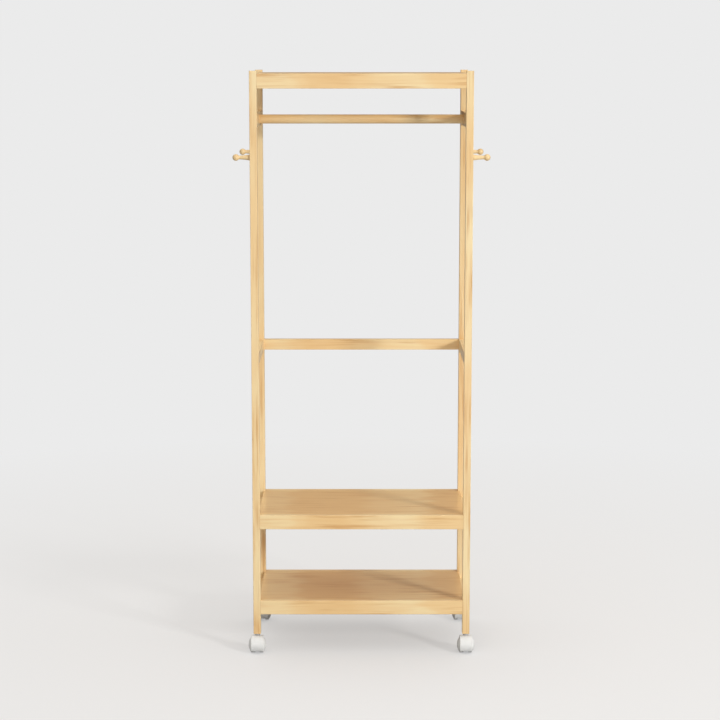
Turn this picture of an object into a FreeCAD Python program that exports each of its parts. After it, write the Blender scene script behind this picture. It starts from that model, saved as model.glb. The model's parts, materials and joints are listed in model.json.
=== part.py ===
import FreeCAD, Part
import math
import os
from FreeCAD import Vector

# Rolling clothes rack in solid wood, on four swivelling twin-wheel casters.
# Millimetres. X runs across the width, -Y is the front, +Z is up.
# The origin is on the floor, under the middle of the frame.

# Overall frame
FRAME_WIDTH = 600.0
FRAME_DEPTH = 338.0
FRAME_HEIGHT = 1603.0

# Posts
POST_WIDTH = 20.0
POST_DEPTH = 26.0
POST_BOTTOM = 53.5
POST_EASE = 1.5

# Cross rails run left to right, side rails run front to back
RAIL_THICKNESS = 18.0
RAIL_EASE = 1.2
TOP_RAIL_HEIGHT = 40.0
TOP_RAIL_DROP = 7.0
SHELF_RAIL_HEIGHT = 39.5
UPPER_SIDE_RAIL_HEIGHT = 38.0
MIDDLE_RAIL_HEIGHT = 30.0

# Heights of the upper face of each level
TOP_LEVEL = FRAME_HEIGHT - TOP_RAIL_DROP
UPPER_SIDE_LEVEL = 1489.0
MIDDLE_LEVEL = 835.5
UPPER_SHELF_LEVEL = 391.0
LOWER_SHELF_LEVEL = 149.0

# Boards
PANEL_THICKNESS = 18.0
PANEL_OVERLAP = 4.5
PANEL_GAP = 0.2
PANEL_EASE = 0.5

# Hanging rod
ROD_DIAMETER = 25.0
ROD_SEAT = 6.0
ROD_SEAT_CLEARANCE = 0.1
ROD_END_GAP = 0.2

# Pegs, turned from one piece, on the outer faces of the posts
PEG_LEVEL = 1372.5
PEG_ROOT_DIAMETER = 16.0
PEG_NECK_DIAMETER = 10.0
PEG_BALL_DIAMETER = 18.0
PEG_REACH = 46.5

# Furniture bolts with barrel nuts, through the posts into the cross rails
BOLT_DIAMETER = 6.0
BOLT_LENGTH = 50.0
BOLT_HEAD_DIAMETER = 12.0
BOLT_HEAD_THICKNESS = 2.5
BOLT_HEAD_RECESS = 0.4
BOLT_SOCKET_ACROSS = 4.0
BOLT_SOCKET_DEPTH = 1.8
BOLT_HOLE_CLEARANCE = 0.2
BARREL_DIAMETER = 10.0
BARREL_LENGTH = 15.0
BARREL_INSET = 24.0
BARREL_CLEARANCE = 0.1
THREAD_CLEARANCE = 0.05
FIXING_SHARE = 0.3

# Dowels
DOWEL_DIAMETER = 8.0
DOWEL_IN_POST = 8.0
DOWEL_IN_SIDE_RAIL = 21.0
DOWEL_IN_CROSS_RAIL = 15.0
TWO_DOWEL_HEIGHT = 30.0
PANEL_DOWEL_DIAMETER = 6.0
PANEL_DOWEL_LENGTH = 24.0
PANEL_DOWEL_SPACING = 140.0
PANEL_DOWELS_PER_EDGE = 4
HOLE_CLEARANCE = 0.05

# Screws
ROD_SCREW_DIAMETER = 4.5
ROD_SCREW_LENGTH = 50.0
ROD_SCREW_HEAD_DIAMETER = 9.0
ROD_SCREW_HEAD_DEPTH = 3.0
PEG_SCREW_DIAMETER = 5.0
PEG_SCREW_IN_POST = 16.0
PEG_SCREW_IN_PEG = 20.0

# Casters
WHEEL_RADIUS = 22.0
WHEEL_INNER_FACE = 6.6
WHEEL_TREAD_EDGE = 17.4
WHEEL_DOME_TIP = 24.25
WHEEL_RIM_RADIUS = 18.5
WHEEL_HUB_RADIUS = 5.5
WHEEL_DISC_FACE = 14.5
WHEEL_CHAMFER = 0.8
AXLE_RADIUS = 2.5
AXLE_HALF_LENGTH = 17.0
AXLE_END_GAP = 0.6
RUNNING_CLEARANCE = 0.05
PRESS_CLEARANCE = 0.01
CASTER_TRAIL = 7.0
HOOD_INNER_RADIUS = 23.3
HOOD_OUTER_RADIUS = 26.0
HOOD_HALF_WIDTH = 17.0
HOOD_DROP = 14.0
HOOD_CHAMFER = 1.0
HOOD_COLLAR_TOP = 48.1
WEB_HALF_THICKNESS = 2.5
WEB_DROP = 10.0
AXLE_BOSS_RADIUS = 5.5
AXLE_BOSS_HALF = 6.2
STEM_BOSS_RADIUS = 6.0
STEM_BOSS_BOTTOM = 33.0
STEM_RADIUS = 4.0
STEM_BOTTOM = 30.2
STEM_TOP = 80.0
STEM_FLANGE_RADIUS = 7.5
STEM_FLANGE_BOTTOM = 48.5
CLIP_INNER_RADIUS = 3.0
CLIP_OUTER_RADIUS = 5.4
CLIP_THICKNESS = 1.0
CLIP_GAP = 0.3
CLIP_MOUTH = 3.0
CLIP_POCKET_RADIUS = 6.4
CLIP_POCKET_BOTTOM = 29.5
SOCKET_RADIUS = 5.5
SOCKET_LENGTH = 32.0
SOCKET_FLANGE_RADIUS = 9.5
SOCKET_FLANGE_THICKNESS = 1.0

# An edge counts as running along an axis when the cosine of the angle between them is above this
PARALLEL_COSINE = 0.999

# Places worked out from the dimensions above
HALF_WIDTH = FRAME_WIDTH / 2
HALF_DEPTH = FRAME_DEPTH / 2
INNER_X = HALF_WIDTH - POST_WIDTH
INNER_Y = HALF_DEPTH - POST_DEPTH
POST_X = HALF_WIDTH - POST_WIDTH / 2
POST_Y = HALF_DEPTH - POST_DEPTH / 2
RAIL_Y = HALF_DEPTH - RAIL_THICKNESS / 2
SIDE_RAIL_INNER_X = POST_X - RAIL_THICKNESS / 2
SIDE_RAIL_OUTER_X = POST_X + RAIL_THICKNESS / 2
STEM_FLANGE_TOP = POST_BOTTOM - SOCKET_FLANGE_THICKNESS
ROD_LEVEL = UPPER_SIDE_LEVEL - UPPER_SIDE_RAIL_HEIGHT / 2
BOARD_LEVELS = (
    ("top", TOP_LEVEL, TOP_RAIL_HEIGHT),
    ("upper_shelf", UPPER_SHELF_LEVEL, SHELF_RAIL_HEIGHT),
    ("lower_shelf", LOWER_SHELF_LEVEL, SHELF_RAIL_HEIGHT),
)
SIDES = (("left", -1), ("right", 1))
ENDS = (("front", -1), ("rear", 1))


def box(x_span, y_span, z_span):
    """Box between two values on each axis, given in either order."""
    lows = [min(span) for span in (x_span, y_span, z_span)]
    sizes = [abs(span[1] - span[0]) for span in (x_span, y_span, z_span)]
    return Part.makeBox(*sizes, Vector(*lows))


def bar(radius, start, end):
    """Round bar between two points."""
    direction = end.sub(start)
    return Part.makeCylinder(radius, direction.Length, start, direction)


def eased(shape, axis, radius):
    """Round the long edges of a piece, those that run along an axis."""
    edges = []
    for edge in shape.Edges:
        run = edge.Vertexes[-1].Point.sub(edge.Vertexes[0].Point)
        if run.Length > 0 and abs(run.dot(axis)) > run.Length * PARALLEL_COSINE:
            edges.append(edge)
    return shape.makeFillet(radius, edges)


def drilled(piece, holes):
    """Cut every hole that reaches a piece."""
    for hole in holes:
        if piece.BoundBox.intersect(hole.BoundBox):
            piece = piece.cut(hole)
    return piece


def side_rails():
    """Name, lower height and upper height of each pair of side rails."""
    spans = [("upper", ROD_LEVEL - UPPER_SIDE_RAIL_HEIGHT / 2, UPPER_SIDE_LEVEL)]
    spans.append(("middle", MIDDLE_LEVEL - MIDDLE_RAIL_HEIGHT, MIDDLE_LEVEL))
    for name, level, height in BOARD_LEVELS:
        spans.append((name, level - height, level - PANEL_THICKNESS))
    return spans


def cross_rails():
    """Name, centre in Y, lower height and upper height of each cross rail."""
    spans = [("middle_rail_rear", POST_Y, MIDDLE_LEVEL - MIDDLE_RAIL_HEIGHT, MIDDLE_LEVEL)]
    for name, level, height in BOARD_LEVELS:
        for end_name, end in ENDS:
            spans.append((f"{name}_rail_{end_name}", end * RAIL_Y, level - height, level))
    return spans


# Fasteners. Each function gives the solids and the holes that they need.

def hex_prism(across, start, end):
    """Hexagonal prism along X between two points."""
    corner = across / math.sqrt(3)
    corners = []
    for step in range(7):
        angle = math.radians(60 * step)
        corners.append(start.add(Vector(0, corner * math.cos(angle), corner * math.sin(angle))))
    return Part.Face(Part.makePolygon(corners)).extrude(end.sub(start))


def frame_bolts():
    """Bolt from the outer face of a post into the end of each cross rail, with its barrel nut."""
    bolts, nuts, holes = [], [], []
    for _, y, low, high in cross_rails():
        z = high - FIXING_SHARE * (high - low)
        for _, side in SIDES:
            face = Vector(side * HALF_WIDTH, y, z)
            head_out = Vector(side * (HALF_WIDTH - BOLT_HEAD_RECESS), y, z)
            head_in = head_out.sub(Vector(side * BOLT_HEAD_THICKNESS, 0, 0))
            tip = head_out.sub(Vector(side * BOLT_LENGTH, 0, 0))
            socket_floor = head_out.sub(Vector(side * BOLT_SOCKET_DEPTH, 0, 0))
            bolt = bar(BOLT_HEAD_DIAMETER / 2, head_out, head_in).fuse(bar(BOLT_DIAMETER / 2, head_in, tip))
            bolts.append(bolt.cut(hex_prism(BOLT_SOCKET_ACROSS, head_out, socket_floor)))

            barrel_x = side * (INNER_X - BARREL_INSET)
            barrel_top = Vector(barrel_x, y, z + BARREL_LENGTH / 2)
            barrel_foot = Vector(barrel_x, y, z - BARREL_LENGTH / 2)
            thread_hole = bar(BOLT_DIAMETER / 2 + THREAD_CLEARANCE, head_in, tip)
            nuts.append(bar(BARREL_DIAMETER / 2, barrel_foot, barrel_top).cut(thread_hole))

            head_radius = BOLT_HEAD_DIAMETER / 2 + BOLT_HOLE_CLEARANCE
            holes.append(bar(head_radius, face, head_in))
            holes.append(bar(BOLT_DIAMETER / 2 + BOLT_HOLE_CLEARANCE, head_in, tip))
            below_rail = Vector(barrel_x, y, low)
            holes.append(bar(BARREL_DIAMETER / 2 + BARREL_CLEARANCE, below_rail, barrel_top))
    return bolts, nuts, holes


def rail_dowels():
    """Dowel beside each bolt, which stops the cross rail turning."""
    dowels, holes = [], []
    for _, y, low, high in cross_rails():
        z = low + FIXING_SHARE * (high - low)
        for _, side in SIDES:
            start = Vector(side * (INNER_X + DOWEL_IN_POST), y, z)
            finish = Vector(side * (INNER_X - DOWEL_IN_CROSS_RAIL), y, z)
            dowels.append(bar(DOWEL_DIAMETER / 2, start, finish))
            holes.append(bar(DOWEL_DIAMETER / 2 + HOLE_CLEARANCE, start, finish))
    return dowels, holes


def side_dowels():
    """Glued dowels that join the side rails to the posts, two where the rail is tall enough."""
    dowels, holes = [], []
    for _, low, high in side_rails():
        height = high - low
        levels = [(low + high) / 2]
        if height >= TWO_DOWEL_HEIGHT:
            levels = [low + height / 4, high - height / 4]
        for z in levels:
            for _, side in SIDES:
                for _, end in ENDS:
                    start = Vector(side * POST_X, end * (INNER_Y + DOWEL_IN_POST), z)
                    finish = Vector(side * POST_X, end * (INNER_Y - DOWEL_IN_SIDE_RAIL), z)
                    dowels.append(bar(DOWEL_DIAMETER / 2, start, finish))
                    holes.append(bar(DOWEL_DIAMETER / 2 + HOLE_CLEARANCE, start, finish))
    return dowels, holes


def panel_dowels():
    """Dowels that join the boards to their front and rear rails."""
    dowels, holes = [], []
    joint_y = HALF_DEPTH - RAIL_THICKNESS
    half = PANEL_DOWEL_LENGTH / 2
    first_x = -PANEL_DOWEL_SPACING * (PANEL_DOWELS_PER_EDGE - 1) / 2
    for _, level, _ in BOARD_LEVELS:
        z = level - PANEL_THICKNESS / 2
        for _, end in ENDS:
            for step in range(PANEL_DOWELS_PER_EDGE):
                x = first_x + PANEL_DOWEL_SPACING * step
                start = Vector(x, end * (joint_y - half), z)
                finish = Vector(x, end * (joint_y + half), z)
                dowels.append(bar(PANEL_DOWEL_DIAMETER / 2, start, finish))
                holes.append(bar(PANEL_DOWEL_DIAMETER / 2 + HOLE_CLEARANCE, start, finish))
    return dowels, holes


def rod_screws():
    """Countersunk screw through each upper side rail into the end of the rod."""
    screws, holes = [], []
    head, shank = ROD_SCREW_HEAD_DIAMETER / 2, ROD_SCREW_DIAMETER / 2
    for _, side in SIDES:
        inward = Vector(-side, 0, 0)
        face = Vector(side * SIDE_RAIL_OUTER_X, 0, ROD_LEVEL)
        cone_end = face.add(inward * ROD_SCREW_HEAD_DEPTH)
        tip = face.add(inward * ROD_SCREW_LENGTH)
        cone = Part.makeCone(head, shank, ROD_SCREW_HEAD_DEPTH, face, inward)
        screws.append(cone.fuse(bar(shank, cone_end, tip)))
        wide, narrow = head + HOLE_CLEARANCE, shank + HOLE_CLEARANCE
        holes.append(Part.makeCone(wide, narrow, ROD_SCREW_HEAD_DEPTH, face, inward))
        holes.append(bar(narrow, cone_end, tip))
    return screws, holes


def peg_screws():
    """Headless screw that holds each peg to its post."""
    screws, holes = [], []
    for _, side in SIDES:
        for _, end in ENDS:
            start = Vector(side * (HALF_WIDTH - PEG_SCREW_IN_POST), end * POST_Y, PEG_LEVEL)
            finish = Vector(side * (HALF_WIDTH + PEG_SCREW_IN_PEG), end * POST_Y, PEG_LEVEL)
            screws.append(bar(PEG_SCREW_DIAMETER / 2, start, finish))
            holes.append(bar(PEG_SCREW_DIAMETER / 2 + HOLE_CLEARANCE, start, finish))
    return screws, holes


# Wooden pieces

def post(side, end):
    """Square-cut upright with eased edges."""
    x_span = (side * INNER_X, side * HALF_WIDTH)
    y_span = (end * INNER_Y, end * HALF_DEPTH)
    blank = box(x_span, y_span, (POST_BOTTOM, FRAME_HEIGHT))
    blank = eased(blank, Vector(0, 0, 1), POST_EASE)
    socket_top = Vector(side * POST_X, end * POST_Y, POST_BOTTOM + SOCKET_LENGTH + SOCKET_FLANGE_THICKNESS)
    socket_mouth = Vector(side * POST_X, end * POST_Y, POST_BOTTOM)
    return blank.cut(bar(SOCKET_RADIUS + PRESS_CLEARANCE, socket_mouth, socket_top))


def side_rail(side, low, high):
    """Rail between the front and rear posts of one side, centred on their width."""
    x_span = (side * SIDE_RAIL_INNER_X, side * SIDE_RAIL_OUTER_X)
    blank = box(x_span, (-INNER_Y, INNER_Y), (low, high))
    return eased(blank, Vector(0, 1, 0), RAIL_EASE)


def rod_seat(side):
    """Shallow round seat for the end of the hanging rod, cut into the upper side rail."""
    radius = ROD_DIAMETER / 2 + ROD_SEAT_CLEARANCE
    mouth = Vector(side * SIDE_RAIL_INNER_X, 0, ROD_LEVEL)
    floor = Vector(side * (SIDE_RAIL_INNER_X + ROD_SEAT), 0, ROD_LEVEL)
    return bar(radius, mouth, floor)


def cross_rail(y, low, high):
    """Rail between the left and right posts."""
    half = RAIL_THICKNESS / 2
    blank = box((-INNER_X, INNER_X), (y - half, y + half), (low, high))
    return eased(blank, Vector(1, 0, 0), RAIL_EASE)


def panel(level):
    """Board between the front and rear rails, with its corners notched around the posts."""
    z_span = (level - PANEL_THICKNESS, level)
    middle_x = INNER_X - PANEL_GAP
    middle_y = HALF_DEPTH - RAIL_THICKNESS - PANEL_GAP
    end_x = INNER_X + PANEL_OVERLAP
    end_y = INNER_Y - PANEL_GAP
    board = box((-middle_x, middle_x), (-middle_y, middle_y), z_span)
    board = board.fuse(box((-end_x, end_x), (-end_y, end_y), z_span)).removeSplitter()
    top_edges = []
    for edge in board.Edges:
        if all(abs(vertex.Z - level) < PANEL_GAP for vertex in edge.Vertexes):
            top_edges.append(edge)
    return board.makeChamfer(PANEL_EASE, top_edges)


def hanging_rod():
    """Round rod with its ends seated in the upper side rails."""
    half = SIDE_RAIL_INNER_X + ROD_SEAT - ROD_END_GAP
    return bar(ROD_DIAMETER / 2, Vector(-half, 0, ROD_LEVEL), Vector(half, 0, ROD_LEVEL))


def peg(side, end):
    """Turned peg: a tapering neck and a ball, revolved about a line along X."""
    ball = PEG_BALL_DIAMETER / 2
    neck = PEG_NECK_DIAMETER / 2
    ball_centre = PEG_REACH - ball
    neck_end = ball_centre - math.sqrt(ball ** 2 - neck ** 2)
    outline = [
        Part.LineSegment(Vector(0, 0, 0), Vector(0, PEG_ROOT_DIAMETER / 2, 0)),
        Part.LineSegment(Vector(0, PEG_ROOT_DIAMETER / 2, 0), Vector(neck_end, neck, 0)),
        Part.Arc(Vector(neck_end, neck, 0), Vector(ball_centre, ball, 0), Vector(PEG_REACH, 0, 0)),
        Part.LineSegment(Vector(PEG_REACH, 0, 0), Vector(0, 0, 0)),
    ]
    face = Part.Face(Part.Wire([segment.toShape() for segment in outline]))
    turned = face.revolve(Vector(0, 0, 0), Vector(1, 0, 0), 360)
    if side < 0:
        turned.rotate(Vector(0, 0, 0), Vector(0, 0, 1), 180)
    turned.translate(Vector(side * HALF_WIDTH, end * POST_Y, PEG_LEVEL))
    return turned


# Casters, made round their swivel axis with the axle in front of it

def caster_wheel(side):
    """Domed wheel with a blind bore for the axle, revolved about the axle."""
    bore = AXLE_RADIUS + RUNNING_CLEARANCE
    bore_end = AXLE_HALF_LENGTH + AXLE_END_GAP
    edge_radius = WHEEL_RADIUS - WHEEL_CHAMFER
    dome_rise = WHEEL_DOME_TIP - WHEEL_TREAD_EDGE
    dome_radius = (edge_radius ** 2 + dome_rise ** 2) / (2 * dome_rise)
    dome_centre = WHEEL_DOME_TIP - dome_radius
    half_turn = math.asin(edge_radius / dome_radius) / 2
    dome_middle = Vector(
        dome_centre + dome_radius * math.cos(half_turn), dome_radius * math.sin(half_turn), 0)
    corners = [
        Vector(WHEEL_DOME_TIP, 0, 0),
        Vector(bore_end, 0, 0),
        Vector(bore_end, bore, 0),
        Vector(WHEEL_INNER_FACE, bore, 0),
        Vector(WHEEL_INNER_FACE, WHEEL_HUB_RADIUS, 0),
        Vector(WHEEL_DISC_FACE, WHEEL_HUB_RADIUS, 0),
        Vector(WHEEL_DISC_FACE, WHEEL_RIM_RADIUS, 0),
        Vector(WHEEL_INNER_FACE, WHEEL_RIM_RADIUS, 0),
        Vector(WHEEL_INNER_FACE, edge_radius, 0),
        Vector(WHEEL_INNER_FACE + WHEEL_CHAMFER, WHEEL_RADIUS, 0),
        Vector(WHEEL_TREAD_EDGE - WHEEL_CHAMFER, WHEEL_RADIUS, 0),
        Vector(WHEEL_TREAD_EDGE, edge_radius, 0),
    ]
    edges = [Part.LineSegment(a, b).toShape() for a, b in zip(corners, corners[1:])]
    edges.append(Part.Arc(corners[-1], dome_middle, corners[0]).toShape())
    wheel = Part.Face(Part.Wire(edges)).revolve(Vector(0, 0, 0), Vector(1, 0, 0), 360)
    if side < 0:
        wheel.rotate(Vector(0, 0, 0), Vector(0, 0, 1), 180)
    wheel.translate(Vector(0, -CASTER_TRAIL, WHEEL_RADIUS))
    return wheel


def caster_hood():
    """Cover over both wheels, with the web between them and the bosses for the axle and stem."""
    axle = Vector(0, -CASTER_TRAIL, WHEEL_RADIUS)
    half_width = Vector(HOOD_HALF_WIDTH, 0, 0)
    drum = bar(HOOD_OUTER_RADIUS, axle.sub(half_width), axle.add(half_width))
    rims = [edge for edge in drum.Edges if len(edge.Vertexes) == 1]
    drum = drum.makeChamfer(HOOD_CHAMFER, rims)
    canopy = drum.cut(bar(HOOD_INNER_RADIUS, axle.sub(half_width), axle.add(half_width)))
    hood = canopy.cut(below(axle, HOOD_DROP))

    web_half = Vector(WEB_HALF_THICKNESS, 0, 0)
    web_radius = (HOOD_INNER_RADIUS + HOOD_OUTER_RADIUS) / 2
    hood = hood.fuse(bar(web_radius, axle.sub(web_half), axle.add(web_half)).cut(below(axle, WEB_DROP)))
    boss_half = Vector(AXLE_BOSS_HALF, 0, 0)
    hood = hood.fuse(bar(AXLE_BOSS_RADIUS, axle.sub(boss_half), axle.add(boss_half)))
    hood = hood.fuse(bar(STEM_BOSS_RADIUS, Vector(0, 0, STEM_BOSS_BOTTOM), Vector(0, 0, HOOD_COLLAR_TOP)))

    pocket_floor = Vector(0, 0, CLIP_POCKET_BOTTOM)
    hood = hood.cut(bar(CLIP_POCKET_RADIUS, pocket_floor, Vector(0, 0, STEM_BOSS_BOTTOM)))
    hood = hood.cut(bar(STEM_RADIUS + RUNNING_CLEARANCE, pocket_floor, Vector(0, 0, HOOD_COLLAR_TOP)))
    hood = hood.cut(bar(AXLE_RADIUS + PRESS_CLEARANCE, axle.sub(boss_half), axle.add(boss_half)))
    return hood.removeSplitter()


def below(centre, drop):
    """Block that removes everything more than a given drop below a point of the caster."""
    reach = 2 * HOOD_OUTER_RADIUS
    lowest = centre.z - reach
    return box((-reach, reach), (centre.y - reach, centre.y + reach), (lowest, centre.z - drop))


def caster_axle():
    """Steel pin pressed into the hood, on which both wheels turn."""
    centre = Vector(0, -CASTER_TRAIL, WHEEL_RADIUS)
    half_length = Vector(AXLE_HALF_LENGTH, 0, 0)
    return bar(AXLE_RADIUS, centre.sub(half_length), centre.add(half_length))


def caster_stem():
    """Steel stem with the flange that it stands on and the groove for its clip."""
    clip_top = STEM_BOSS_BOTTOM - CLIP_GAP
    stem = bar(STEM_RADIUS, Vector(0, 0, STEM_BOTTOM), Vector(0, 0, STEM_TOP))
    flange = bar(STEM_FLANGE_RADIUS, Vector(0, 0, STEM_FLANGE_BOTTOM), Vector(0, 0, STEM_FLANGE_TOP))
    groove_low, groove_high = Vector(0, 0, clip_top - CLIP_THICKNESS), Vector(0, 0, clip_top)
    groove = bar(STEM_RADIUS, groove_low, groove_high).cut(bar(CLIP_INNER_RADIUS, groove_low, groove_high))
    return stem.fuse(flange).cut(groove).removeSplitter()


def stem_clip():
    """Open ring in the groove of the stem, which carries the hood when the rack is lifted."""
    high = STEM_BOSS_BOTTOM - CLIP_GAP
    top, foot = Vector(0, 0, high), Vector(0, 0, high - CLIP_THICKNESS)
    ring = bar(CLIP_OUTER_RADIUS, foot, top).cut(bar(CLIP_INNER_RADIUS, foot, top))
    half_mouth = CLIP_MOUTH / 2
    return ring.cut(box((-half_mouth, half_mouth), (0, CLIP_OUTER_RADIUS), (foot.z, top.z)))


def caster_socket():
    """Flanged sleeve in the foot of a post, which grips the stem."""
    mouth = Vector(0, 0, POST_BOTTOM - SOCKET_FLANGE_THICKNESS)
    flange = bar(SOCKET_FLANGE_RADIUS, mouth, Vector(0, 0, POST_BOTTOM))
    sleeve_top = Vector(0, 0, POST_BOTTOM + SOCKET_LENGTH)
    sleeve = bar(SOCKET_RADIUS, mouth, sleeve_top)
    return flange.fuse(sleeve).cut(bar(STEM_RADIUS + PRESS_CLEARANCE, mouth, sleeve_top))


def placed(piece, side, end):
    """Copy of a caster piece under one post, with the axle on the outer side of the frame."""
    copy = piece.copy()
    if end > 0:
        copy.rotate(Vector(0, 0, 0), Vector(0, 0, 1), 180)
    copy.translate(Vector(side * POST_X, end * POST_Y, 0))
    return copy


def wooden_pieces():
    """Every wooden piece with its holes, by node name."""
    holes = []
    for group in (frame_bolts(), rail_dowels(), side_dowels(), panel_dowels(), rod_screws(), peg_screws()):
        holes.extend(group[-1])
    pieces = {"hanging_rod": hanging_rod()}
    for side_name, side in SIDES:
        for end_name, end in ENDS:
            pieces[f"post_{end_name}_{side_name}"] = post(side, end)
            pieces[f"peg_{end_name}_{side_name}"] = peg(side, end)
        for name, low, high in side_rails():
            pieces[f"{name}_side_rail_{side_name}"] = side_rail(side, low, high)
        upper_rail = f"upper_side_rail_{side_name}"
        pieces[upper_rail] = pieces[upper_rail].cut(rod_seat(side))
    for name, y, low, high in cross_rails():
        pieces[name] = cross_rail(y, low, high)
    for name, level, _ in BOARD_LEVELS:
        pieces[f"{name}_panel"] = panel(level)
    return {name: drilled(piece, holes) for name, piece in pieces.items()}


def fastener_groups():
    """Every set of identical fasteners, by node name."""
    bolts, nuts, _ = frame_bolts()
    corners = [(side, end) for _, side in SIDES for _, end in ENDS]
    return {
        "frame_bolts": bolts,
        "barrel_nuts": nuts,
        "cross_rail_dowels": rail_dowels()[0],
        "side_rail_dowels": side_dowels()[0],
        "panel_dowels": panel_dowels()[0],
        "rod_screws": rod_screws()[0],
        "peg_screws": peg_screws()[0],
        "caster_sockets": [placed(caster_socket(), side, end) for side, end in corners],
        "stem_clips": [placed(stem_clip(), side, end) for side, end in corners],
    }


def caster_pieces():
    """Stem, hood, axle and two wheels of each caster, by node name."""
    pieces = {}
    for side_name, side in SIDES:
        for end_name, end in ENDS:
            corner = f"{end_name}_{side_name}"
            pieces[f"stem_{corner}"] = placed(caster_stem(), side, end)
            pieces[f"hood_{corner}"] = placed(caster_hood(), side, end)
            pieces[f"axle_{corner}"] = placed(caster_axle(), side, end)
            outer_wheel = caster_wheel(-side * end)
            inner_wheel = caster_wheel(side * end)
            pieces[f"outer_wheel_{corner}"] = placed(outer_wheel, side, end)
            pieces[f"inner_wheel_{corner}"] = placed(inner_wheel, side, end)
    return pieces


def main():
    os.makedirs("parts", exist_ok=True)
    pieces = wooden_pieces()
    pieces.update(caster_pieces())
    for name, solids in fastener_groups().items():
        pieces[name] = Part.makeCompound(solids)
    for name, shape in pieces.items():
        shape.exportStep(f"parts/{name}.step")


main()
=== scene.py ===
import json
import math

import bmesh
import bpy
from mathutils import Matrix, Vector


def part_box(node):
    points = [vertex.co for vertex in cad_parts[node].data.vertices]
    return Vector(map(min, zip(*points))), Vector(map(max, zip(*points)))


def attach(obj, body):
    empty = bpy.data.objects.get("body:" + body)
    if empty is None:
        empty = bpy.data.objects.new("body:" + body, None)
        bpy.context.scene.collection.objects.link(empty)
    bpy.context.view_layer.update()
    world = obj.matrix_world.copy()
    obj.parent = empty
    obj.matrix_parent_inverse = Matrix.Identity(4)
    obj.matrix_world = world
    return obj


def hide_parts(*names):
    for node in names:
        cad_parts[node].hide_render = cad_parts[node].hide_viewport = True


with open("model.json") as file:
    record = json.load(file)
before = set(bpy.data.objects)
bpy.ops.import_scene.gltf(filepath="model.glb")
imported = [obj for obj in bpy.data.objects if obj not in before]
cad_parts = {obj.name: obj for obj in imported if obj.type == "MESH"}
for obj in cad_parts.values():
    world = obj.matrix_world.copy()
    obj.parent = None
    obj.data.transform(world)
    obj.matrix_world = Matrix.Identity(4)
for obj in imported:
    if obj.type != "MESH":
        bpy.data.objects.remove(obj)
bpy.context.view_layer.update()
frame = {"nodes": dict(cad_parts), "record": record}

CORNERS = ("front_left", "rear_left", "front_right", "rear_right")
MM = 0.001

# Camera: a long lens, looking slightly down at the front of the rack
LENS = 100.0
SENSOR = 36.0
CAMERA_PITCH = math.radians(8.748)
CAMERA_HEIGHT = 1.6518
CAMERA_TO_FRONT = 5.3795
CAMERA_SHIFT = -1.5 / 720

# Key light, from the right
LIGHT_TARGET = Vector((0, 0, 0.7))
KEY_AZIMUTH = math.radians(44)
KEY_ELEVATION = math.radians(16)
KEY_DISTANCE = 9.0
KEY_SIZE = 1.45
KEY_POWER = 447.0
KEY_COLOUR = (0.99, 1.0, 1.01)

# Broad fill light, from the left
FILL_AZIMUTH = math.radians(-15)
FILL_ELEVATION = math.radians(5)
FILL_DISTANCE = 10.0
FILL_SIZE = 6.0
FILL_POWER = 150.0
FILL_COLOUR = (1.0, 0.98, 0.95)

# Weak low light for the shelves and casters. It stands where the floor has faded into the backdrop.
LOW_TARGET = Vector((0, 0, 0.05))
LOW_AZIMUTH = math.radians(14)
LOW_ELEVATION = math.radians(4)
LOW_DISTANCE = 3.8
LOW_SIZE = 0.6
LOW_POWER = 9.2
LOW_COLOUR = (1.0, 0.98, 0.95)

# Light of the room by the height of its direction, and the even backdrop that the camera sees
ROOM_COLOUR = (1.0, 0.975, 0.945, 1)
HORIZON_HEIGHT = 0.2
HORIZON_LIGHT = 0.06
OVERHEAD_HEIGHT = 0.6
OVERHEAD_LIGHT = 1.0
BACKDROP = 0.831

# Floor: its glow is the least share of backdrop in it, near the middle
FLOOR_RADIUS = 40.0
FLOOR_SEGMENTS = 96
FLOOR_COLOUR = (0.81, 0.79, 0.77, 1)
FLOOR_SHEEN = 0.15
FLOOR_ROUGHNESS = (0.62, 0.70)
FLOOR_CLOUDS = 3.0
FLOOR_BOUNCE = 0.38
FLOOR_GLOW = 0.52
FLOOR_FADE_START = 0.8
FLOOR_FADE_END = 3.0

# Wood colours, from pale to warm, then the late-wood streaks, the end grain and the paler long edges
WOOD_PALE = (0.88, 0.70, 0.40, 1)
WOOD_MID = (0.84, 0.595, 0.30, 1)
WOOD_WARM = (0.77, 0.48, 0.205, 1)
WOOD_STREAK = (0.60, 0.31, 0.105, 1)
WOOD_END = (0.60, 0.37, 0.15, 1)
WOOD_EDGE = (0.90, 0.74, 0.46, 1)

# Grain of the wood: noise scales along and across it, and each pattern's step from a piece's own seed
TONE_GRAIN = (4.5, 9.0)
BOARD_GRAIN = (4.0, 30.0)
RING_GRAIN = (2.2, 26.0)
RING_SEED = 3.1
STREAK_GRAIN = (5.5, 130.0)
STREAK_SEED = 7.7
PLACE_GRAIN = (7.0, 14.0)
PLACE_SEED = 9.1
FIBRE_GRAIN = (16.0, 1300.0)
FIBRE_SEED = 11.3
PATCH_GRAIN = (18.0, 60.0)
PATCH_SEED = 13.9
SEED_STEP = 2.37
SEED_LIMIT = 50

# Tone: 1 is the palest and 0 the warmest. Board tones are (place along the board, tone).
PIECE_TONES = (0.4, 1.0)
BOARD_TONES = (
    (0.0, 0.80), (0.11, 0.80), (0.25, 0.30), (0.40, 0.28),
    (0.60, 0.75), (0.78, 0.90), (0.9, 0.45), (1.0, 0.4),
)
BOARD_WANDER = 0.05
PANEL_DEPTH = 0.5
# Painted light: the lower shelf panel is paler than the other panels, to brighten its top, which lies in
# shade under the upper shelf.
LOWER_PANEL_DEPTH_WITH_PAINTED_LIGHT = 0.25

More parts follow.
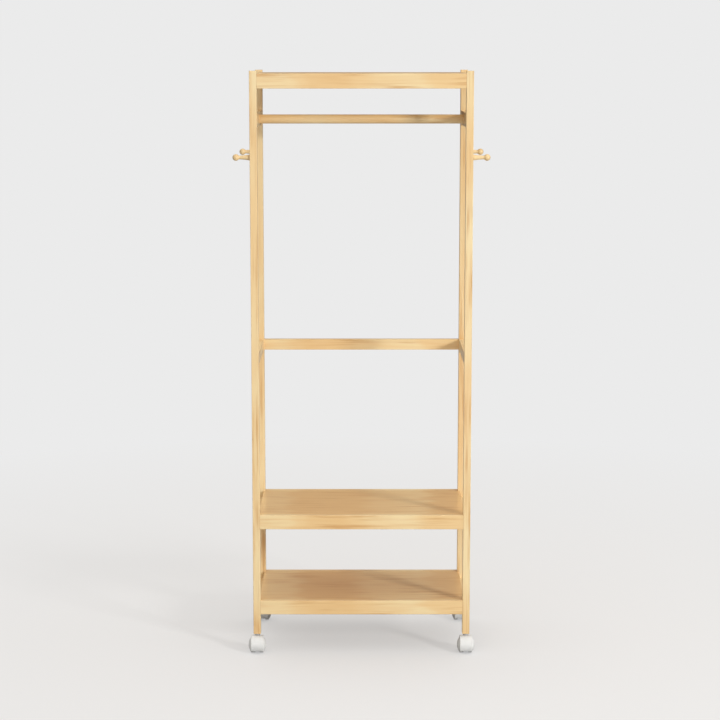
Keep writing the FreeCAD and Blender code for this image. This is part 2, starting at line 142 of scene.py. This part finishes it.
# How strongly the figure of the wood shows. A range is the span of noise over which it comes in.
MIDDLE_RANGE = (0.3, 0.7)
RING_COUNT = 34.0
RING_RANGE = (-0.2, 1.0)
RING_STRENGTH = 0.26
STREAK_RANGE = (0.49, 0.66)
STREAK_STRENGTH = 0.75
PLACE_RANGE = (0.42, 0.62)
PLACE_LEAST = 0.15
FIBRE_RANGE = (0.62, 0.8)
FIBRE_STRENGTH = 0.28
EDGE_WIDTH = 2.2 * MM
EDGE_STRENGTH = 0.35
PATCH_RANGE = (0.35, 0.65)
PATCH_LEAST = 0.2
END_FACING = (0.7, 0.95)
END_STRENGTH = 0.75

# Surface of the lacquered wood
WOOD_ROUGHNESS = (0.29, 0.38)
WOOD_ROUGHNESS_RANGE = (0.3, 0.8)
WOOD_COAT = 0.12
WOOD_COAT_ROUGHNESS = 0.12
WOOD_SPECULAR = 0.35
WOOD_BUMP = 0.25
WOOD_BUMP_DEPTH = 0.2 * MM
STREAK_BUMP = 0.4

# Moulded plastic: clouds of a slightly darker shade, and a fine texture
HOOD_WHITE = (0.75, 0.75, 0.735, 1)
HOOD_SHADE = (0.70, 0.70, 0.685, 1)
HOOD_ROUGHNESS = 0.36
WHEEL_WHITE = (0.84, 0.84, 0.82, 1)
WHEEL_SHADE = (0.76, 0.76, 0.74, 1)
WHEEL_ROUGHNESS = 0.40
SOCKET_GREY = (0.72, 0.72, 0.70, 1)
SOCKET_SHADE = (0.64, 0.64, 0.62, 1)
SOCKET_ROUGHNESS = 0.5
CLOUD_RANGE = (0.35, 0.7)
PLASTIC_CLOUDS = 60.0
PLASTIC_CLOUD_STRENGTH = 0.6
PLASTIC_SMOOTHER = 0.04
PLASTIC_ROUGHER = 0.06
PLASTIC_TEXTURE = 2500.0
PLASTIC_BUMP = 0.12
PLASTIC_BUMP_DEPTH = 0.05 * MM
PLASTIC_IOR = 1.46

# Zinc-plated steel: darker clouds, and fine turning marks
STEM_STEEL = (0.72, 0.72, 0.73, 1)
STEM_ROUGHNESS = 0.28
BOLT_STEEL = (0.52, 0.52, 0.54, 1)
BOLT_ROUGHNESS = 0.34
STEEL_CLOUDS = 220.0
STEEL_DARKENING = 0.75
STEEL_SMOOTHER = 0.06
STEEL_ROUGHER = 0.1
STEEL_TEXTURE = 4000.0
STEEL_BUMP = 0.1
STEEL_BUMP_DEPTH = 0.03 * MM

# Shape of a wheel in millimetres: places along its axle from the inner face, and radii
WHEEL_BORE_RADIUS = 2.55
WHEEL_BORE_DEPTH = 11.0
WHEEL_BORE_CHAMFER = 0.3
WHEEL_HUB_RADIUS = 5.5
WHEEL_DISC_PLACE = 7.9
WHEEL_RIM_INSIDE = 18.5
TREAD_WIDTH = 10.8
TREAD_CORNER = 0.9
TREAD_GROOVE_PLACES = (3.6, 7.0)
TREAD_GROOVE_WIDTH = 0.7
TREAD_GROOVE_DEPTH = 0.35
DOME_RADIUS = 20.3
DOME_STEP = 0.5
CAP_RADIUS = 6.4
CAP_GROOVE = 0.35
CAP_SHARE = 0.88

# Shape of a peg in millimetres
PEG_ROOT_RADIUS = 8.0
PEG_NECK_RADIUS = 5.0
PEG_BALL_RADIUS = 9.0
PEG_ROOT_EDGE = 0.8
PEG_BOW = 0.4
PEG_FILLET = 1.5
PEG_SEED = 60.0

# Fineness of the turned pieces. A ring no wider than the tip radius, in millimetres, is one point.
LATHE_STEPS = 96
CORNER_STEPS = 6
DOME_STEPS = 20
CAP_STEPS = 8
TAPER_STEPS = 12
BALL_STEPS = 28
TIP_RADIUS = 0.001
SHARP_ANGLE = math.radians(32)


# Shader helpers

def new_material(name):
    material = bpy.data.materials.new(name)
    material.use_nodes = True
    material.node_tree.nodes.clear()
    return material


def add(tree, kind, inputs=None, **settings):
    """Add a shader node. Inputs are plain values or output sockets, by name or number."""
    node = tree.nodes.new(kind)
    for name, value in settings.items():
        setattr(node, name, value)
    for key, value in (inputs or {}).items():
        if isinstance(value, bpy.types.NodeSocket):
            tree.links.new(value, node.inputs[key])
        else:
            node.inputs[key].default_value = value
    return node


def maths(tree, operation, first, second=0.0):
    node = add(tree, "ShaderNodeMath", {0: first, 1: second}, operation=operation)
    return node.outputs[0]


def mix(tree, factor, first, second):
    """Mix of two colours, which are plain values or output sockets."""
    node = add(tree, "ShaderNodeMix", {0: factor, 6: first, 7: second}, data_type="RGBA")
    return node.outputs[2]


def remap(tree, value, old, new):
    """Move a value from one range to another, and keep it within the new one."""
    node = add(tree, "ShaderNodeMapRange", {0: value, 1: old[0], 2: old[1], 3: new[0], 4: new[1]})
    return node.outputs[0]


def part_of(tree, point, axis):
    """One of the three values of a vector."""
    return add(tree, "ShaderNodeSeparateXYZ", {0: point}).outputs[axis]


def object_point(tree):
    return add(tree, "ShaderNodeTexCoord").outputs["Object"]


def noise(tree, vector, scale, detail=3.0, roughness=0.5, seed=0.0):
    inputs = {"Vector": vector, "W": seed, "Scale": scale, "Detail": detail, "Roughness": roughness}
    node = add(tree, "ShaderNodeTexNoise", inputs, noise_dimensions="4D")
    return node.outputs["Fac"]


def ramp(tree, factor, stops):
    """Colour ramp from (position, colour) stops."""
    node = add(tree, "ShaderNodeValToRGB", {0: factor})
    node.color_ramp.interpolation = "EASE"
    while len(node.color_ramp.elements) < len(stops):
        node.color_ramp.elements.new(0.5)
    for element, (position, colour) in zip(node.color_ramp.elements, stops):
        element.position = position
        element.color = colour
    return node.outputs[0]


def raised(tree, height, strength, depth):
    """Bumped normal."""
    node = add(tree, "ShaderNodeBump", {"Height": height, "Strength": strength, "Distance": depth})
    return node.outputs[0]


def grey(value):
    return (value, value, value, 1)


def finish_shader(material, colour, roughness, bump, **fixed):
    """Finish a material with one principled shader."""
    tree = material.node_tree
    inputs = {"Base Color": colour, "Roughness": roughness, "Normal": bump}
    shader = add(tree, "ShaderNodeBsdfPrincipled", inputs)
    for name, value in fixed.items():
        shader.inputs[name.replace("_", " ")].default_value = value
    add(tree, "ShaderNodeOutputMaterial", {0: shader.outputs[0]})
    return material


# Wood

def long_axis(node):
    low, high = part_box(node)
    sizes = [b - a for a, b in zip(low, high)]
    return sizes.index(max(sizes))


def grain_noise(tree, point, start, axis, grain, detail, roughness, seed):
    """Noise drawn out along the grain, measured from a start point."""
    scales = [grain[0] if number == axis else grain[1] for number in range(3)]
    offsets = [-place * scale for place, scale in zip(start, scales)]
    node = add(tree, "ShaderNodeMapping", {"Vector": point, "Location": offsets, "Scale": scales})
    return noise(tree, node.outputs[0], 1.0, detail, roughness, seed)


def board_tone(tree, point, axis, low, high, seed):
    """Tone along a board. All boards share one figure: pale, warm, palest, then warm again."""
    place = remap(tree, part_of(tree, point, axis), (low[axis], high[axis]), (0, 1))
    wander = grain_noise(tree, point, low, axis, BOARD_GRAIN, 2.0, 0.5, seed)
    place = maths(tree, "ADD", place, remap(tree, wander, MIDDLE_RANGE, (-BOARD_WANDER, BOARD_WANDER)))
    return ramp(tree, place, [(position, grey(tone)) for position, tone in BOARD_TONES])


def piece_tone(tree, point, axis, centre, seed):
    """Tone along any other piece: slow changes every 15 to 30 cm."""
    slow = grain_noise(tree, point, centre, axis, TONE_GRAIN, 1.0, 0.4, seed)
    return remap(tree, slow, MIDDLE_RANGE, PIECE_TONES)


def ring_pattern(tree, point, centre, axis, seed):
    """Growth rings: bands of late wood that wander slowly along the grain."""
    bend = grain_noise(tree, point, centre, axis, RING_GRAIN, 2.0, 0.5, seed + RING_SEED)
    waves = maths(tree, "SINE", maths(tree, "MULTIPLY", bend, RING_COUNT))
    return remap(tree, waves, RING_RANGE, (0.0, 1.0))


def streak_pattern(tree, point, centre, axis, seed):
    """Streaks: long dark flecks of a few millimetres, stronger in places."""
    flecks = grain_noise(tree, point, centre, axis, STREAK_GRAIN, 2.5, 0.55, seed + STREAK_SEED)
    places = grain_noise(tree, point, centre, axis, PLACE_GRAIN, 1.0, 0.5, seed + PLACE_SEED)
    flecks = remap(tree, flecks, STREAK_RANGE, (0.0, 1.0))
    return maths(tree, "MULTIPLY", flecks, remap(tree, places, PLACE_RANGE, (PLACE_LEAST, 1.0)))


def edge_nearness(tree, point, axis, low, high):
    """1 on the long edges of a squared piece, falling to 0 a little way in."""
    depths = []
    for across in range(3):
        if across != axis:
            offset = maths(tree, "SUBTRACT", part_of(tree, point, across), (low[across] + high[across]) / 2)
            half = (high[across] - low[across]) / 2
            depths.append(maths(tree, "SUBTRACT", half, maths(tree, "ABSOLUTE", offset)))
    inside = maths(tree, "MAXIMUM", depths[0], depths[1])
    return remap(tree, inside, (0.0, EDGE_WIDTH), (1.0, 0.0))


def paler_long_edges(tree, point, centre, axis, low, high, seed):
    """Paler long edges, uneven along the piece."""
    near = edge_nearness(tree, point, axis, low, high)
    patches = grain_noise(tree, point, centre, axis, PATCH_GRAIN, 3.0, 0.6, seed + PATCH_SEED)
    return maths(tree, "MULTIPLY", near, remap(tree, patches, PATCH_RANGE, (PATCH_LEAST, 1.0)))


def end_grain(tree, axis):
    """How far a face looks along the grain."""
    normal = add(tree, "ShaderNodeNewGeometry").outputs["Normal"]
    facing = maths(tree, "ABSOLUTE", part_of(tree, normal, axis))
    return remap(tree, facing, END_FACING, (0.0, END_STRENGTH))


def wood(node, seed, figured=False, depth=0.0, squared=True):
    """Pale lacquered wood with its grain along the longest side. Depth moves it to warmer tones."""
    material = new_material(f"wood_{node}")
    tree = material.node_tree
    low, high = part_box(node)
    centre = [(a + b) / 2 for a, b in zip(low, high)]
    axis = long_axis(node)
    point = object_point(tree)
    if figured:
        tone = board_tone(tree, point, axis, low, high, seed)
    else:
        tone = piece_tone(tree, point, axis, centre, seed)
    rings = ring_pattern(tree, point, centre, axis, seed)
    streaks = streak_pattern(tree, point, centre, axis, seed)
    fibres = grain_noise(tree, point, centre, axis, FIBRE_GRAIN, 2.0, 0.6, seed + FIBRE_SEED)

    tone = maths(tree, "SUBTRACT", tone, depth)
    colour = ramp(tree, tone, ((0.0, WOOD_WARM), (0.5, WOOD_MID), (1.0, WOOD_PALE)))
    colour = mix(tree, maths(tree, "MULTIPLY", rings, RING_STRENGTH), colour, WOOD_WARM)
    colour = mix(tree, maths(tree, "MULTIPLY", streaks, STREAK_STRENGTH), colour, WOOD_STREAK)
    colour = mix(tree, remap(tree, fibres, FIBRE_RANGE, (0.0, FIBRE_STRENGTH)), colour, WOOD_END)
    if squared:
        # Paler along the long edges, in uneven patches.
        paler_edge = paler_long_edges(tree, point, centre, axis, low, high, seed)
        colour = mix(tree, maths(tree, "MULTIPLY", paler_edge, EDGE_STRENGTH), colour, WOOD_EDGE)
    colour = mix(tree, end_grain(tree, axis), colour, WOOD_END)

    roughness = remap(tree, fibres, WOOD_ROUGHNESS_RANGE, WOOD_ROUGHNESS)
    height = maths(tree, "ADD", maths(tree, "MULTIPLY", streaks, STREAK_BUMP), fibres)
    bump = raised(tree, height, WOOD_BUMP, WOOD_BUMP_DEPTH)
    coat = {"Coat_Weight": WOOD_COAT, "Coat_Roughness": WOOD_COAT_ROUGHNESS}
    return finish_shader(material, colour, roughness, bump, Specular_IOR_Level=WOOD_SPECULAR, **coat)


# Plastic and metal

def moulded_plastic(name, colour, shade, roughness):
    """Moulded plastic with a fine texture and slight colour variation."""
    material = new_material(name)
    tree = material.node_tree
    point = object_point(tree)
    cloud = noise(tree, point, PLASTIC_CLOUDS, 2.0, 0.5, 1.0)
    colour = mix(tree, remap(tree, cloud, CLOUD_RANGE, (0.0, PLASTIC_CLOUD_STRENGTH)), colour, shade)
    span = (roughness - PLASTIC_SMOOTHER, roughness + PLASTIC_ROUGHER)
    gloss = remap(tree, cloud, MIDDLE_RANGE, span)
    texture = noise(tree, point, PLASTIC_TEXTURE, 2.0, 0.5, 2.0)
    bump = raised(tree, texture, PLASTIC_BUMP, PLASTIC_BUMP_DEPTH)
    return finish_shader(material, colour, gloss, bump, IOR=PLASTIC_IOR)


def plated_steel(name, colour, roughness):
    """Zinc-plated steel with fine turning marks."""
    material = new_material(name)
    tree = material.node_tree
    point = object_point(tree)
    cloud = noise(tree, point, STEEL_CLOUDS, 3.0, 0.6, 4.0)
    darker = tuple(channel * STEEL_DARKENING for channel in colour[:3]) + (1,)
    shade = mix(tree, remap(tree, cloud, CLOUD_RANGE, (0.0, 1.0)), colour, darker)
    span = (roughness - STEEL_SMOOTHER, roughness + STEEL_ROUGHER)
    gloss = remap(tree, cloud, MIDDLE_RANGE, span)
    marks = noise(tree, point, STEEL_TEXTURE, 2.0, 0.5, 5.0)
    bump = raised(tree, marks, STEEL_BUMP, STEEL_BUMP_DEPTH)
    return finish_shader(material, shade, gloss, bump, Metallic=1.0)


def give(node, material):
    """Put one material in every slot of a CAD piece."""
    for slot in frame["nodes"][node].material_slots:
        slot.material = material


def panel_depth(node, slot):
    if slot != "panel_wood":
        return 0.0
    # The lower shelf panel's lesser depth is painted light: a paler tone that brightens its shaded top.
    return LOWER_PANEL_DEPTH_WITH_PAINTED_LIGHT if node == "lower_shelf_panel" else PANEL_DEPTH


def dress_wood():
    """Give each wooden piece its own wood. The pegs get theirs when they are turned."""
    seed = 0.0
    for part in frame["record"]["subparts"]:
        node, slot = part["node"], part["material_slot"]
        if not slot.endswith("_wood"):
            continue
        seed += SEED_STEP
        if not node.startswith("peg_"):
            is_board = slot in ("rail_wood", "panel_wood") and long_axis(node) == 0
            squared = slot in ("post_wood", "rail_wood")
            depth = panel_depth(node, slot)
            give(node, wood(node, seed % SEED_LIMIT, figured=is_board, depth=depth, squared=squared))


def dress_hardware():
    """Plastic and metal pieces. Gives back the wheel plastic."""
    looks = {
        "hood_plastic": moulded_plastic("hood_white", HOOD_WHITE, HOOD_SHADE, HOOD_ROUGHNESS),
        "wheel_plastic": moulded_plastic("wheel_white", WHEEL_WHITE, WHEEL_SHADE, WHEEL_ROUGHNESS),
        "socket_plastic": moulded_plastic("socket_grey", SOCKET_GREY, SOCKET_SHADE, SOCKET_ROUGHNESS),
        "caster_steel": plated_steel("steel_stem", STEM_STEEL, STEM_ROUGHNESS),
        "fastener_steel": plated_steel("steel_bolt", BOLT_STEEL, BOLT_ROUGHNESS),
    }
    for part in frame["record"]["subparts"]:
        if part["material_slot"] in looks:
            give(part["node"], looks[part["material_slot"]])
    return looks["wheel_plastic"]


# Turned pieces

def arc(centre_place, centre_radius, radius, start, finish, steps):
    """Points of an arc in the plane of a profile, with angles in degrees from the axis."""
    points = []
    for step in range(steps + 1):
        angle = math.radians(start + (finish - start) * step / steps)
        points.append((centre_place + radius * math.cos(angle), centre_radius + radius * math.sin(angle)))
    return points


def lathe(name, profile, base, direction, material):
    """Turn a profile of (place, radius) points in millimetres about a line along X from a base point."""
    shape = bmesh.new()
    rings = []
    for place, radius in profile:
        x = base.x + direction * place * MM
        if radius < TIP_RADIUS:
            rings.append([shape.verts.new((x, base.y, base.z))])
            continue
        ring = []
        for step in range(LATHE_STEPS):
            angle = 2 * math.pi * step / LATHE_STEPS
            y = base.y + radius * MM * math.cos(angle)
            ring.append(shape.verts.new((x, y, base.z + radius * MM * math.sin(angle))))
        rings.append(ring)
    for inner, outer in zip(rings, rings[1:]):
        for step in range(LATHE_STEPS):
            corners = [inner[step % len(inner)], inner[(step + 1) % len(inner)]]
            corners += [outer[(step + 1) % len(outer)], outer[step % len(outer)]]
            unique = list(dict.fromkeys(corners))
            if len(unique) > 2:
                shape.faces.new(unique)
    bmesh.ops.recalc_face_normals(shape, faces=shape.faces)
    mesh = bpy.data.meshes.new(name)
    shape.to_mesh(mesh)
    shape.free()
    mesh.polygons.foreach_set("use_smooth", [True] * len(mesh.polygons))
    mesh.set_sharp_from_angle(angle=SHARP_ANGLE)
    mesh.materials.append(material)
    piece = bpy.data.objects.new(name, mesh)
    bpy.context.scene.collection.objects.link(piece)
    return piece


def tread_profile(radius):
    """The rolling surface with its rounded corners and two grooves."""
    middle = radius - TREAD_CORNER
    profile = arc(TREAD_CORNER, middle, TREAD_CORNER, 180, 90, CORNER_STEPS)
    for place in TREAD_GROOVE_PLACES:
        half = TREAD_GROOVE_WIDTH / 2
        profile += [(place - half, radius), (place - half / 2, radius - TREAD_GROOVE_DEPTH)]
        profile += [(place + half / 2, radius - TREAD_GROOVE_DEPTH), (place + half, radius)]
    return profile + arc(TREAD_WIDTH - TREAD_CORNER, middle, TREAD_CORNER, 90, 0, CORNER_STEPS)


def dome_profile(tip):
    """The dome, which is part of a sphere that just reaches the tip, and the cap in its middle."""
    rise = tip - TREAD_WIDTH
    sphere = (DOME_RADIUS ** 2 + rise ** 2) / (2 * rise)
    edge_angle = math.degrees(math.asin(DOME_RADIUS / sphere))
    cap_angle = math.degrees(math.asin(CAP_RADIUS / sphere))
    profile = arc(tip - sphere, 0, sphere, edge_angle, cap_angle, DOME_STEPS)
    groove_place, groove_radius = profile[-1]
    profile += [(groove_place - CAP_GROOVE, groove_radius - CAP_GROOVE / 2)]
    return profile + arc(tip - sphere, 0, sphere, cap_angle * CAP_SHARE, 0, CAP_STEPS)


def wheel_profile(radius, tip):
    """Profile of a wheel from its blind bore, round the rim and tread, to the middle of the dome."""
    profile = [(WHEEL_BORE_DEPTH, 0), (WHEEL_BORE_DEPTH, WHEEL_BORE_RADIUS)]
    profile += [(WHEEL_BORE_CHAMFER, WHEEL_BORE_RADIUS), (0, WHEEL_BORE_RADIUS + WHEEL_BORE_CHAMFER)]
    profile += [(0, WHEEL_HUB_RADIUS), (WHEEL_DISC_PLACE, WHEEL_HUB_RADIUS)]
    profile += [(WHEEL_DISC_PLACE, WHEEL_RIM_INSIDE), (0, WHEEL_RIM_INSIDE)]
    profile += tread_profile(radius)
    profile += [(TREAD_WIDTH, DOME_RADIUS + DOME_STEP)]
    profile += [(TREAD_WIDTH - DOME_STEP, DOME_RADIUS + DOME_STEP / 2)]
    return profile + dome_profile(tip)


def middle_of(low, high, axis):
    return (low[axis] + high[axis]) / 2


def make_wheels(material):
    """Turned wheels in place of the CAD wheels, with their domes away from the middle of the caster."""
    for corner in CORNERS:
        post_middle = middle_of(*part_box(f"post_{corner}"), 0)
        for place in ("inner", "outer"):
            node = f"{place}_wheel_{corner}"
            low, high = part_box(node)
            direction = 1 if middle_of(low, high, 0) > post_middle else -1
            face = low[0] if direction > 0 else high[0]
            base = Vector((face, middle_of(low, high, 1), middle_of(low, high, 2)))
            radius = (high[2] - low[2]) / 2 / MM
            tip = (high[0] - low[0]) / MM
            wheel = lathe(f"turned_{node}", wheel_profile(radius, tip), base, direction, material)
            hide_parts(node)
            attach(wheel, f"{place}_wheel_body_{corner}")


def peg_profile(reach):
    """Profile of a peg: an eased root, a slightly hollow taper to the neck, a small fillet and the ball."""
    ball_centre = reach - PEG_BALL_RADIUS
    neck_end = ball_centre - math.sqrt(PEG_BALL_RADIUS ** 2 - PEG_NECK_RADIUS ** 2)
    taper_length = neck_end - PEG_FILLET - PEG_ROOT_EDGE
    profile = [(0, 0), (0, PEG_ROOT_RADIUS - PEG_ROOT_EDGE), (PEG_ROOT_EDGE, PEG_ROOT_RADIUS)]
    for step in range(1, TAPER_STEPS + 1):
        share = step / TAPER_STEPS
        straight = PEG_ROOT_RADIUS + (PEG_NECK_RADIUS - PEG_ROOT_RADIUS) * share
        radius = straight - math.sin(math.pi * share) * PEG_BOW
        profile.append((PEG_ROOT_EDGE + taper_length * share, radius))
    joint_angle = 180 - math.degrees(math.asin((PEG_NECK_RADIUS + PEG_FILLET / 2) / PEG_BALL_RADIUS))
    return profile + arc(ball_centre, 0, PEG_BALL_RADIUS, joint_angle, 0, BALL_STEPS)


def make_pegs():
    """Turned pegs in place of the CAD pegs, with their balls away from the rack."""
    for number, corner in enumerate(CORNERS):
        node = f"peg_{corner}"
        low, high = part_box(node)
        direction = 1 if low[0] > 0 else -1
        face = low[0] if direction > 0 else high[0]
        base = Vector((face, middle_of(low, high, 1), middle_of(low, high, 2)))
        reach = (high[0] - low[0]) / MM
        material = wood(node, PEG_SEED + number, squared=False)
        peg = lathe(f"turned_{node}", peg_profile(reach), base, direction, material)
        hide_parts(node)
        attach(peg, "frame")


# Stage

def make_camera():
    data = bpy.data.cameras.new("camera")
    data.sensor_width = SENSOR
    data.lens = LENS
    data.shift_x = CAMERA_SHIFT
    camera = bpy.data.objects.new("camera", data)
    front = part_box("post_front_left")[0][1]
    camera.location = (0, front - CAMERA_TO_FRONT, CAMERA_HEIGHT)
    camera.rotation_euler = (math.pi / 2 - CAMERA_PITCH, 0, 0)
    bpy.context.scene.collection.objects.link(camera)
    bpy.context.scene.camera = camera


def from_front(target, azimuth, elevation, distance):
    """Point at a distance from a target, at an azimuth to the right of straight ahead."""
    flat = math.cos(elevation)
    towards = Vector((flat * math.sin(azimuth), -flat * math.cos(azimuth), math.sin(elevation)))
    return target + towards * distance


def make_light(name, size, power, colour, location, target):
    """Square area light that faces its target."""
    data = bpy.data.lights.new(name, "AREA")
    data.size = size
    data.energy = power
    data.color = colour
    light = bpy.data.objects.new(name, data)
    light.location = location
    light.rotation_euler = (target - location).to_track_quat("-Z", "Y").to_euler()
    bpy.context.scene.collection.objects.link(light)


def make_lights():
    key = from_front(LIGHT_TARGET, KEY_AZIMUTH, KEY_ELEVATION, KEY_DISTANCE)
    fill = from_front(LIGHT_TARGET, FILL_AZIMUTH, FILL_ELEVATION, FILL_DISTANCE)
    low = from_front(LOW_TARGET, LOW_AZIMUTH, LOW_ELEVATION, LOW_DISTANCE)
    make_light("key", KEY_SIZE, KEY_POWER, KEY_COLOUR, key, LIGHT_TARGET)
    make_light("fill", FILL_SIZE, FILL_POWER, FILL_COLOUR, fill, LIGHT_TARGET)
    make_light("low", LOW_SIZE, LOW_POWER, LOW_COLOUR, low, LOW_TARGET)


def seen_by_camera(tree, otherwise, seen):
    """One shader for what the camera sees directly, and another for the light that is given to the rack."""
    ray = add(tree, "ShaderNodeLightPath").outputs["Is Camera Ray"]
    return add(tree, "ShaderNodeMixShader", {0: ray, 1: otherwise, 2: seen}).outputs[0]


def make_world():
    """White surroundings: an even backdrop for the camera, and for the rack a room brighter overhead."""
    world = bpy.data.worlds.new("studio")
    world.use_nodes = True
    bpy.context.scene.world = world
    tree = world.node_tree
    tree.nodes.clear()
    seen = add(tree, "ShaderNodeBackground", {"Color": grey(1), "Strength": BACKDROP}).outputs[0]
    direction = add(tree, "ShaderNodeTexCoord").outputs["Generated"]
    heights = (HORIZON_HEIGHT, OVERHEAD_HEIGHT)
    room = remap(tree, part_of(tree, direction, 2), heights, (HORIZON_LIGHT, OVERHEAD_LIGHT))
    lit = add(tree, "ShaderNodeBackground", {"Color": ROOM_COLOUR, "Strength": room}).outputs[0]
    add(tree, "ShaderNodeOutputWorld", {0: seen_by_camera(tree, lit, seen)})


def floor_material():
    """Pale floor that fades into the backdrop away from the middle."""
    material = new_material("floor_pale")
    tree = material.node_tree
    point = object_point(tree)
    distance = add(tree, "ShaderNodeVectorMath", {0: point}, operation="LENGTH").outputs["Value"]
    fade = remap(tree, distance, (FLOOR_FADE_START, FLOOR_FADE_END), (FLOOR_GLOW, 1))
    gloss = remap(tree, noise(tree, point, FLOOR_CLOUDS), MIDDLE_RANGE, FLOOR_ROUGHNESS)
    inputs = {"Base Color": FLOOR_COLOUR, "Roughness": gloss, "Specular IOR Level": FLOOR_SHEEN}
    surface = add(tree, "ShaderNodeBsdfPrincipled", inputs).outputs[0]
    backdrop = add(tree, "ShaderNodeEmission", {"Color": grey(1), "Strength": BACKDROP}).outputs[0]
    seen = add(tree, "ShaderNodeMixShader", {0: fade, 1: surface, 2: backdrop}).outputs[0]
    bounce = add(tree, "ShaderNodeBsdfDiffuse", {"Color": grey(FLOOR_BOUNCE)}).outputs[0]
    add(tree, "ShaderNodeOutputMaterial", {0: seen_by_camera(tree, bounce, seen)})
    return material


def make_floor():
    mesh = bpy.data.meshes.new("floor")
    shape = bmesh.new()
    bmesh.ops.create_circle(shape, cap_ends=True, segments=FLOOR_SEGMENTS, radius=FLOOR_RADIUS)
    shape.to_mesh(mesh)
    shape.free()
    mesh.materials.append(floor_material())
    floor = bpy.data.objects.new("floor", mesh)
    bpy.context.scene.collection.objects.link(floor)


bpy.context.scene.view_settings.view_transform = "Standard"
make_camera()
make_lights()
make_world()
make_floor()
dress_wood()
wheel_white = dress_hardware()
make_wheels(wheel_white)
make_pegs()
